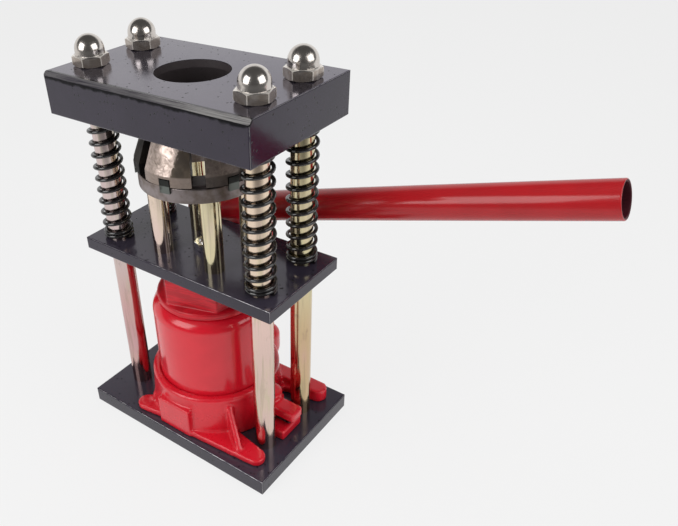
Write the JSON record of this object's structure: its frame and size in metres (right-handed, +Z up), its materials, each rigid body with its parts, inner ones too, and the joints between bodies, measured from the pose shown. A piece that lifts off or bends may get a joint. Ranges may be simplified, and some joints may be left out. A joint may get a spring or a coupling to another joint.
{
  "type": "hydraulic hose crimping press",
  "caption": "Bench press with a bottle jack under a sliding table on columns; it pushes a ring of tapered dies into the conical bore of the top plate to crimp hose ferrules.",
  "frame": {"origin": "centre of the base plate's underside", "axes": "+Z up along the ram; +X along the long side of the plates, towards the free end of the pump handle; +Y to the pump side"},
  "size_m": [0.388, 0.1496, 0.343],
  "materials": {
    "plate_black": "satin black enamel",
    "yellow_zinc": "bright yellow zinc plating with faint iridescence",
    "spring_black": "gloss black",
    "bright_plating": "bright nickel",
    "jack_red": "gloss red enamel over a casting",
    "handle_red": "semi-gloss deep red enamel",
    "bare_steel": "machined, worn and oiled",
    "black_oxide": "black oxide",
    "seal_rubber": "matte"
  },
  "bodies": {
    "frame": {"base_plate": "plate_black", "column_front_left": "yellow_zinc", "column_front_right": "yellow_zinc", "column_back_left": "yellow_zinc", "column_back_right": "yellow_zinc", "column_screws": "black_oxide", "top_plate": "plate_black", "cap_nuts": "bright_plating", "spring_front_left": "spring_black", "spring_front_right": "spring_black", "spring_back_left": "spring_black", "spring_back_right": "spring_black", "jack_base": "jack_red", "jack_screws": "black_oxide", "oil_tank": "jack_red", "tank_gasket": "seal_rubber", "filler_plug": "seal_rubber", "pressure_cylinder": "bare_steel", "tank_nut": "jack_red", "ram_wiper": "seal_rubber", "release_ball": "bare_steel", "check_ball": "bare_steel", "pump_barrel": "jack_red", "pump_seal": "seal_rubber", "fulcrum_post": "jack_red"},
    "carrier": {"ram": "bright_plating", "piston_seal": "seal_rubber", "sliding_table": "plate_black", "ram_nut": "bright_plating", "post_front_left": "yellow_zinc", "post_front_right": "yellow_zinc", "post_back_left": "yellow_zinc", "post_back_right": "yellow_zinc", "post_lower_screws": "black_oxide", "post_upper_screws": "black_oxide", "die_ring": "bare_steel", "die_keepers": "black_oxide"},
    "die_1_body": {"die_1": "bare_steel"},
    "die_2_body": {"die_2": "bare_steel"},
    "die_3_body": {"die_3": "bare_steel"},
    "die_4_body": {"die_4": "bare_steel"},
    "die_5_body": {"die_5": "bare_steel"},
    "die_6_body": {"die_6": "bare_steel"},
    "lever": {"handle_socket": "jack_red", "handle_tube": "handle_red", "fulcrum_pin": "bright_plating", "plunger_pin": "bright_plating", "pin_clips": "black_oxide"},
    "plunger": {"pump_plunger": "bright_plating"},
    "release": {"release_screw": "black_oxide"}
  },
  "joints": [
    {"name": "ram_lift", "type": "slide", "parent": "frame", "child": "carrier", "axis": [0, 0, 1], "range_m": [0, 0.024], "stiffness_N_per_m": 29000, "springref_m": -0.005, "deforming": ["spring_front_left", "spring_front_right", "spring_back_left", "spring_back_right"]},
    {"name": "die_1_slide", "type": "slide", "parent": "carrier", "child": "die_1_body", "axis": [0.1736, -0.9848, 0], "range_m": [-0.0097, 0]},
    {"name": "die_2_slide", "type": "slide", "parent": "carrier", "child": "die_2_body", "axis": [0.9397, -0.342, 0], "range_m": [-0.0097, 0]},
    {"name": "die_3_slide", "type": "slide", "parent": "carrier", "child": "die_3_body", "axis": [0.766, 0.6428, 0], "range_m": [-0.0097, 0]},
    {"name": "die_4_slide", "type": "slide", "parent": "carrier", "child": "die_4_body", "axis": [-0.1736, 0.9848, 0], "range_m": [-0.0097, 0]},
    {"name": "die_5_slide", "type": "slide", "parent": "carrier", "child": "die_5_body", "axis": [-0.9397, 0.342, 0], "range_m": [-0.0097, 0]},
    {"name": "die_6_slide", "type": "slide", "parent": "carrier", "child": "die_6_body", "axis": [-0.766, -0.6428, 0], "range_m": [-0.0097, 0]},
    {"name": "lever_swing", "type": "hinge", "parent": "frame", "child": "lever", "pos_m": [-0.036, 0.0665, 0.144], "axis": [0, -1, 0], "range_deg": [-20, 15]},
    {"name": "plunger_slide", "type": "slide", "parent": "frame", "child": "plunger", "axis": [0, 0, 1], "range_m": [-0.0141, 0.0106]},
    {"name": "release_turn", "type": "hinge", "parent": "frame", "child": "release", "pos_m": [0.07, -0.0032, 0.0295], "axis": [1, 0, 0], "range_deg": [0, 540]}
  ],
  "couplings": [
    {"joint": "die_1_slide", "follows": "ram_lift", "ratio": -0.40403},
    {"joint": "die_2_slide", "follows": "ram_lift", "ratio": -0.40403},
    {"joint": "die_3_slide", "follows": "ram_lift", "ratio": -0.40403},
    {"joint": "die_4_slide", "follows": "ram_lift", "ratio": -0.40403},
    {"joint": "die_5_slide", "follows": "ram_lift", "ratio": -0.40403},
    {"joint": "die_6_slide", "follows": "ram_lift", "ratio": -0.40403},
    {"joint": "plunger_slide", "follows": "lever_swing", "m_per_rad": 0.04}
  ]
}
